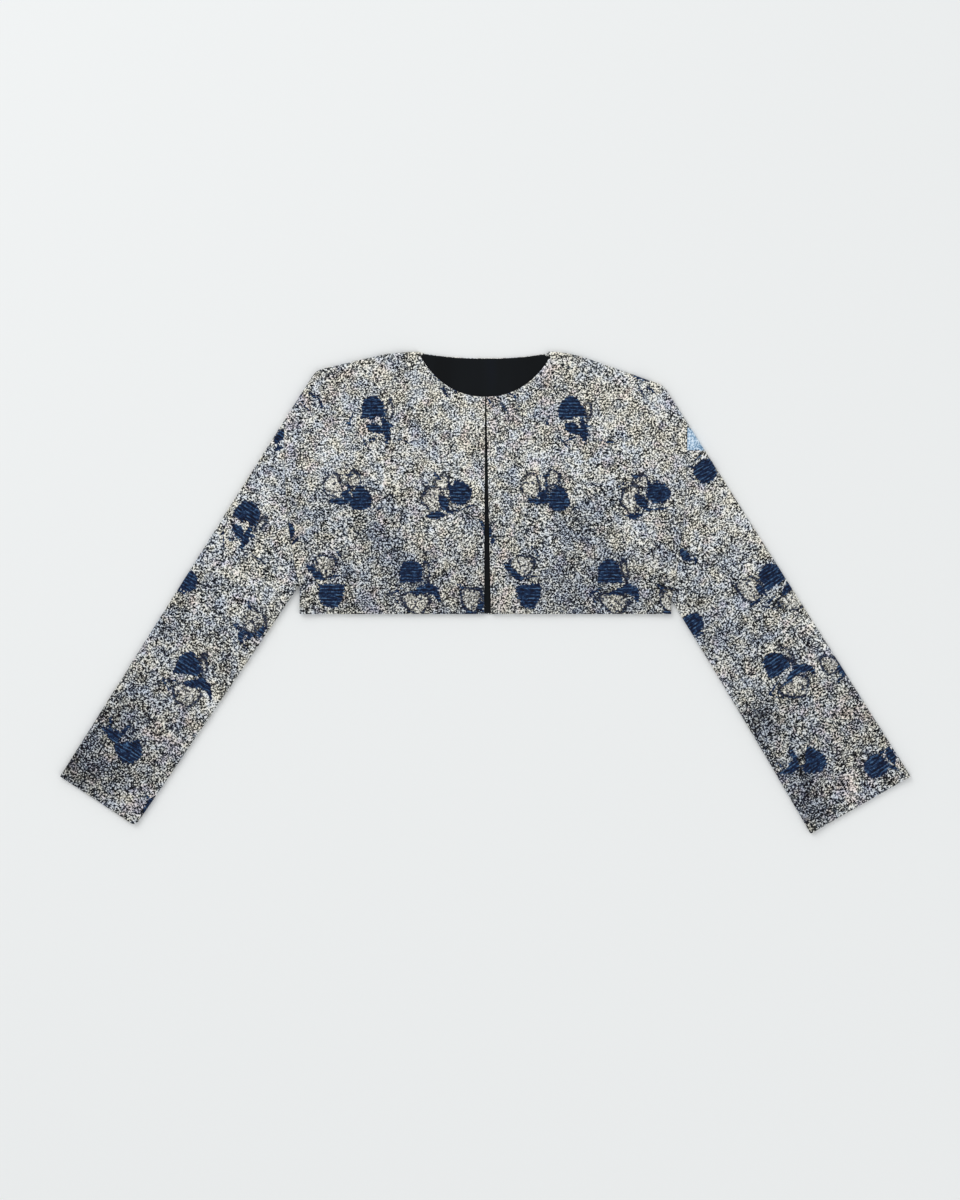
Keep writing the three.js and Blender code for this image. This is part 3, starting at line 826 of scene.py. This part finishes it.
class Graph:
    """Short calls that add and link shader nodes."""

    def __init__(self, name):
        self.material = bpy.data.materials.new(name)
        self.material.use_nodes = True
        self.nodes = self.material.node_tree.nodes
        self.links = self.material.node_tree.links
        self.shader = self.nodes["Principled BSDF"]

    def put(self, socket, value):
        if isinstance(value, bpy.types.NodeSocket):
            self.links.new(value, socket)
        else:
            socket.default_value = value

    def surface(self, values):
        """Sets or links the shader's inputs by name, and gives the material."""
        for key, value in values.items():
            self.put(self.shader.inputs[key], value)
        return self.material

    def math(self, operation, *values):
        node = self.nodes.new("ShaderNodeMath")
        node.operation = operation
        for socket, value in zip(node.inputs, values):
            self.put(socket, value)
        return node.outputs[0]

    def times(self, a, b):
        return self.math("MULTIPLY", a, b)

    def total(self, first, *others):
        for other in others:
            first = self.math("ADD", first, other)
        return first

    def swing(self, value, amount):
        """A value round 0.5, moved to lie round 0 and times an amount."""
        return self.times(self.math("SUBTRACT", value, 0.5), amount)

    def attribute(self, name):
        node = self.nodes.new("ShaderNodeAttribute")
        node.attribute_name = name
        return node.outputs["Vector"]

    def split(self, vector):
        node = self.nodes.new("ShaderNodeSeparateXYZ")
        self.put(node.inputs[0], vector)
        return node.outputs

    def scaled(self, vector, scale):
        node = self.nodes.new("ShaderNodeMapping")
        self.put(node.inputs["Vector"], vector)
        node.inputs["Scale"].default_value = scale
        return node.outputs[0]

    def noise(self, vector, scale, detail=2.0, roughness=0.5, distortion=0.0):
        node = self.nodes.new("ShaderNodeTexNoise")
        self.put(node.inputs["Vector"], vector)
        node.inputs["Scale"].default_value = scale
        node.inputs["Detail"].default_value = detail
        node.inputs["Roughness"].default_value = roughness
        node.inputs["Distortion"].default_value = distortion
        return node.outputs["Fac"]

    def cells(self, vector, scale):
        """A random value from 0 to 1 for each cell."""
        node = self.nodes.new("ShaderNodeTexVoronoi")
        self.put(node.inputs["Vector"], vector)
        node.inputs["Scale"].default_value = scale
        return self.split(node.outputs["Color"])[0]

    def ramp(self, value, stops):
        node = self.nodes.new("ShaderNodeValToRGB")
        self.put(node.inputs[0], value)
        elements = node.color_ramp.elements
        while len(elements) < len(stops):
            elements.new(0.5)
        for element, (position, colour) in zip(elements, stops):
            element.position = position
            element.color = (*srgb(colour), 1)
        return node.outputs[0]

    def range(self, value, low, high, to_low=0.0, to_high=1.0):
        node = self.nodes.new("ShaderNodeMapRange")
        for socket, given in zip(node.inputs, (value, low, high, to_low, to_high)):
            self.put(socket, given)
        return node.outputs[0]

    def grey(self, value):
        node = self.nodes.new("ShaderNodeCombineColor")
        for socket in node.inputs[:3]:
            self.put(socket, value)
        return node.outputs[0]

    def blend(self, share, a, b, kind="MIX"):
        node = self.nodes.new("ShaderNodeMix")
        node.data_type = "RGBA"
        node.blend_type = kind
        self.put(node.inputs["Factor"], share)
        for socket, value in ((node.inputs[6], a), (node.inputs[7], b)):
            self.put(socket, value if isinstance(value, bpy.types.NodeSocket) else (*srgb(value), 1))
        return node.outputs[2]

    def bump(self, height, strength, distance):
        node = self.nodes.new("ShaderNodeBump")
        self.put(node.inputs["Height"], height)
        node.inputs["Strength"].default_value = strength
        node.inputs["Distance"].default_value = distance
        return node.outputs[0]


def srgb(colour):
    """Linear values of a colour given as 0 to 255 on screen."""
    return [c / 255 / 12.92 if c <= 10.3 else ((c / 255 + 0.055) / 1.055) ** 2.4 for c in colour]


# Noise in the tweed. Columns: scale for each mm, detail, roughness, distortion
NOISE = {
    "loops": (0.50, 1, 0.5, 0.4),
    "fibres": (1.7, 1, 0.6, 0),
    "clouds": (0.045, 2, 0.6, 0),
    "hue": (0.052, 2, 0.65, 0),
    "blush": (0.065, 1, 0.5, 0),
    "rag": (0.42, 2, 0.5, 0),
    "worn": (0.11, 1, 0.5, 0),
    "splotch": (0.19, 1, 0.5, 0),
    "drift": (0.042, 1, 0.5, 1.5),
    "drift_places": (0.024, 1, 0.5, 0.4),
}
CELLS = {"specks": 0.66, "spots": 0.30}
# How far each of them swings the yarn's value, its hue, the edges of shapes in mm, or the navy ribs
SWING = {"fibres": 0.18, "specks": 0.25, "clouds": 0.22, "spots": 0.03, "rag": 9.0, "loops": 0.5}
# What a piece's painted shading and tints do: the painted shading (lightness) moves the value and dims
# the colour, warmth moves the hue, and rose moves the blush
SHADING_AND_TINT_EFFECT = {"value": 0.093, "dim": 0.36, "hue": 0.09, "blush": 0.2}

# Ranges, each as from low, from high, to low, to high. Distances are in mm.
HALO = (5.0, 0.5, 0.0, -0.05)
TINT_RANGE = (0.40, 0.56, 0.0, 1.0)
BLUSH_RANGE = (0.56, 0.74, 0.0, 1.0)
FILLED_EDGE = (0.45, -0.45, 0.0, 1.0)
SKY_EDGE = (0.4, -0.4, 0.0, 1.0)
LINE_EDGE = (1.65, 0.8, 0.0, 1.0)
WORN_RANGE = (0.38, 0.62, -0.8, 0.7)
SPLOTCH_RANGE = (0.58, 0.63, 0.0, 1.0)
WISP_EDGE = (0.011, 0.004, 0.0, 1.0)
WISP_PLACES = (0.50, 0.58, 0.0, 1.0)
ROW_RANGE = (0.1, 1.0, -0.3, 1.0)
FILLED_LOFT = (0.0, 1.0, 1.0, 0.3)
LINE_RAG = 0.35
WISP_RAG = 0.002
SHARE = {"cream": 0.55, "wisps": 0.6, "lines": 0.9, "ink": 0.5}

# Ribs of the navy yarn: pitch in mm, weight of the rows in colour and in height, scales of their breaks
RIBS = {"pitch": 4.2, "colour": 0.13, "height": 0.10, "breaks": (0.16, 0.50, 0.3)}

# Colours on screen over a value from 0 to 1
YARN = [
    (0.35, (6, 8, 14)), (0.41, (27, 31, 37)), (0.462, (86, 90, 94)), (0.506, (147, 151, 150)),
    (0.548, (217, 219, 214)), (0.595, (252, 253, 248)), (0.65, (255, 255, 253)),
]
DARK_TINT = [
    (0.30, (128, 156, 236)), (0.43, (196, 212, 248)), (0.53, (240, 240, 240)), (0.68, (255, 234, 204)),
]
LIGHT_TINT = [
    (0.30, (222, 231, 245)), (0.43, (239, 243, 249)), (0.53, (250, 250, 248)), (0.68, (255, 251, 240)),
]
CREAM = [
    (0.30, (34, 34, 40)), (0.38, (118, 117, 112)), (0.46, (212, 209, 196)), (0.56, (255, 252, 240)),
]
NAVY = [(0.32, (4, 7, 24)), (0.48, (10, 26, 55)), (0.60, (23, 48, 82)), (0.80, (76, 108, 142))]
SKY = [(0.34, (92, 128, 160)), (0.5, (166, 196, 222)), (0.64, (222, 238, 252))]
# The lining's own dark colour, with soft lengthwise streaks of painted fold shade
SATIN_AND_FOLD_SHADE = [(0.3, (8, 11, 14)), (0.55, (13, 17, 21)), (0.75, (14, 19, 29))]
BLUSH = (251, 241, 246)
INK = (20, 20, 34)
FLOOR = (238, 240, 240)


def yarn_value(g, grain, loops, outlined, painted_shading):
    """How light the yarn is, about 0.35 to 0.65, a little darker beside a line and moved by painted shade.
    """
    return g.total(
        loops,
        g.swing(g.noise(grain, *NOISE["fibres"]), SWING["fibres"]),
        g.swing(g.cells(grain, CELLS["specks"]), SWING["specks"]),
        # painted shading: a lightness under 1 darkens the yarn's value, and over 1 lightens it
        g.times(g.math("SUBTRACT", painted_shading, 1.0), SHADING_AND_TINT_EFFECT["value"]),
        g.range(outlined, *HALO),
        g.swing(g.noise(grain, *NOISE["clouds"]), SWING["clouds"]),
    )


def yarn_colour(g, grain, value, inside, shading_and_tint):
    """The grey, cream, blue and rose yarn, lighter inside a loop and dimmed by the painted shading."""
    painted_shading, warmth, rose = shading_and_tint
    hue = g.total(
        g.noise(grain, *NOISE["hue"]),
        g.times(warmth, SHADING_AND_TINT_EFFECT["hue"]),
        g.swing(g.cells(grain, CELLS["spots"]), SWING["spots"]),
    )
    tint = g.blend(g.range(value, *TINT_RANGE), g.ramp(hue, DARK_TINT), g.ramp(hue, LIGHT_TINT))
    yarn = g.blend(1.0, g.ramp(value, YARN), tint, "MULTIPLY")
    blush = g.total(g.noise(grain, *NOISE["blush"]), g.times(rose, SHADING_AND_TINT_EFFECT["blush"]))
    yarn = g.blend(g.range(blush, *BLUSH_RANGE), yarn, g.blend(1.0, yarn, BLUSH, "MULTIPLY"))
    yarn = g.blend(g.times(inside, SHARE["cream"]), yarn, g.ramp(value, CREAM))
    # painted shading: the whole yarn colour is dimmed by the lightness
    return g.blend(1.0, yarn, g.grey(g.math("POWER", painted_shading, SHADING_AND_TINT_EFFECT["dim"])), "MULTIPLY")


def line_share(g, grain, outlined, inside, rag):
    """How far thin dark yarn covers a place: worn rings, spots inside them, and wisps in the open cloth."""
    worn = g.range(g.noise(grain, *NOISE["worn"]), *WORN_RANGE)
    in_line = g.range(g.total(outlined, g.times(rag, LINE_RAG), worn), *LINE_EDGE)
    splotch = g.range(g.noise(grain, *NOISE["splotch"]), *SPLOTCH_RANGE)
    marked = g.math("MAXIMUM", in_line, g.times(splotch, inside))
    drift = g.math("ABSOLUTE", g.swing(g.noise(grain, *NOISE["drift"]), 1.0))
    in_wisp = g.range(g.total(drift, g.times(rag, WISP_RAG)), *WISP_EDGE)
    wisps = g.times(in_wisp, g.range(g.noise(grain, *NOISE["drift_places"]), *WISP_PLACES))
    marked = g.math("MAXIMUM", marked, g.times(wisps, SHARE["wisps"]))
    return g.times(marked, SHARE["lines"])


def tweed_material():
    g = Graph("tweed")
    grain = g.attribute("grain")
    filled, outlined, inside = g.split(g.attribute("flower"))
    # painted shading (lightness), with the cloth's own warmth and rose tints
    shading_and_tint = g.split(g.attribute("shading_and_tint"))
    sky = g.split(g.attribute("sky"))[0]

    loops = g.noise(grain, *NOISE["loops"])
    value = yarn_value(g, grain, loops, outlined, shading_and_tint[0])
    yarn = yarn_colour(g, grain, value, inside, shading_and_tint)

    rag = g.swing(g.noise(grain, *NOISE["rag"]), SWING["rag"])
    in_filled = g.range(g.total(filled, rag), *FILLED_EDGE)
    in_sky = g.range(g.total(sky, rag), *SKY_EDGE)
    rows = g.range(g.math("SINE", g.times(g.split(grain)[1], 2 * math.pi / RIBS["pitch"])), *ROW_RANGE)
    breaks = g.noise(g.scaled(grain, RIBS["breaks"]), 1.0)
    rib = g.total(g.times(rows, RIBS["colour"]), breaks, g.swing(loops, SWING["loops"]))
    navy = g.ramp(rib, NAVY)

    colour = g.blend(in_sky, yarn, g.ramp(value, SKY))
    colour = g.blend(line_share(g, grain, outlined, inside, rag), colour, g.blend(SHARE["ink"], navy, INK))
    colour = g.blend(in_filled, colour, navy)

    loft = g.times(value, g.range(in_filled, *FILLED_LOFT))
    ribs = g.times(rows, g.times(in_filled, RIBS["height"]))
    return g.surface({
        "Base Color": colour,
        "Roughness": 0.9,
        "Specular IOR Level": 0.2,
        "Sheen Weight": 0.06,
        "Sheen Roughness": 0.5,
        "Normal": g.bump(g.total(loft, ribs), strength=0.45, distance=0.0012),
    })


def satin_material():
    g = Graph("satin")
    grain = g.attribute("grain")
    # Painted shade: noise stretched along the lining's length paints soft streaks of fold shading
    clouds = g.noise(g.scaled(grain, (1, 0.25, 1)), 0.02)
    threads = g.noise(g.scaled(grain, (3.0, 0.35, 1)), 1.2, detail=1.0)
    return g.surface({
        "Base Color": g.ramp(clouds, SATIN_AND_FOLD_SHADE),
        "Roughness": 0.45,
        "Specular IOR Level": 0.10,
        "Normal": g.bump(threads, strength=0.12, distance=0.0002),
    })


def floor_material():
    return Graph("floor").surface({
        "Base Color": (*srgb(FLOOR), 1),
        "Roughness": 0.9,
        "Specular IOR Level": 0.1,
    })


# Studio. The camera looks straight down. A pixel of the 960 x 1200 picture shows PIXEL mm of the jacket.

PIXEL = 1.27
PICTURE_CENTRE = (-6.9, -9.5)
FRAME_HEIGHT = 1200 * PIXEL
LENS = 100.0
SENSOR = 36.0
# The floor lies a little under the jacket, and is this many metres wide
FLOOR_LEVEL = -0.05
FLOOR_SIZE = 14
WORLD = {"colour": (0.99, 0.995, 1.0, 1), "strength": 0.70}
# Columns: name, place in metres, size in metres, power in watts
LIGHTS = [("key", (-2.6, 3.0, 3.6), 3.2, 92), ("fill", (2.8, -2.4, 3.6), 3.6, 38)]


def add_to_scene(name, data, place):
    thing = bpy.data.objects.new(name, data)
    thing.location = place
    bpy.context.scene.collection.objects.link(thing)
    return thing


def make_camera():
    data = bpy.data.cameras.new("camera")
    data.lens = LENS
    data.sensor_width = SENSOR
    data.sensor_fit = "AUTO"
    height = FRAME_HEIGHT * LENS / SENSOR + BODY_LEVEL
    place = (PICTURE_CENTRE[0] * MM, PICTURE_CENTRE[1] * MM, height * MM)
    bpy.context.scene.camera = add_to_scene("camera", data, place)


def make_floor():
    bpy.ops.mesh.primitive_plane_add(size=FLOOR_SIZE, location=(0, 0, FLOOR_LEVEL * MM))
    plane = bpy.context.object
    plane.name = "floor"
    plane.data.materials.append(floor_material())


def make_light():
    world = bpy.data.worlds.new("world")
    world.use_nodes = True
    background = world.node_tree.nodes["Background"]
    background.inputs["Color"].default_value = WORLD["colour"]
    background.inputs["Strength"].default_value = WORLD["strength"]
    bpy.context.scene.world = world
    bpy.context.scene.view_settings.view_transform = "Standard"
    for name, place, size, power in LIGHTS:
        data = bpy.data.lights.new(name, "AREA")
        data.shape = "SQUARE"
        data.size = size
        data.energy = power
        light = add_to_scene(name, data, place)
        light.rotation_euler = Vector(place).to_track_quat("Z", "Y").to_euler()


# Cut of the cloth

AREA_SHARES = np.linspace(0, 1, 80)


def plan_area(points):
    """Area of a grid of plan points, in square metres."""
    a, b, c, d = points[:-1, :-1], points[1:, :-1], points[1:, 1:], points[:-1, 1:]
    diagonal, other = c - a, d - b
    doubled = np.abs(diagonal[..., 0] * other[..., 1] - diagonal[..., 1] * other[..., 0])
    return float(doubled.sum() / 2) * MM * MM


def body_area(depth, outline, at_neck, at_hem):
    edges = body_edges(outline, depth, at_neck, at_hem)
    return plan_area(patch(edges, AREA_SHARES, AREA_SHARES))


# The jacket

def dress(piece, node, material):
    piece.data.materials.append(material)
    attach(piece, "root")
    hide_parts(node)
    return piece


make_camera()
make_floor()
make_light()
tweed, satin = tweed_material(), satin_material()

back = dress(make_back(), "back", tweed)
back_cut = sum(body_area(NECK["back"], outline, 0, 0) for outline in OUTLINES.values())

lining = dress(make_lining(), "back_lining", satin)

for name, half in HALVES.items():
    front = dress(make_front(name, half, OUTLINES[name]), f"front_{name}", tweed)
    front_cut = body_area(NECK["front"], OUTLINES[name], half["edge_neck"], half["edge_hem"])
    sleeve = dress(make_sleeve(name, half, OUTLINES[name]), f"sleeve_{name}", tweed)
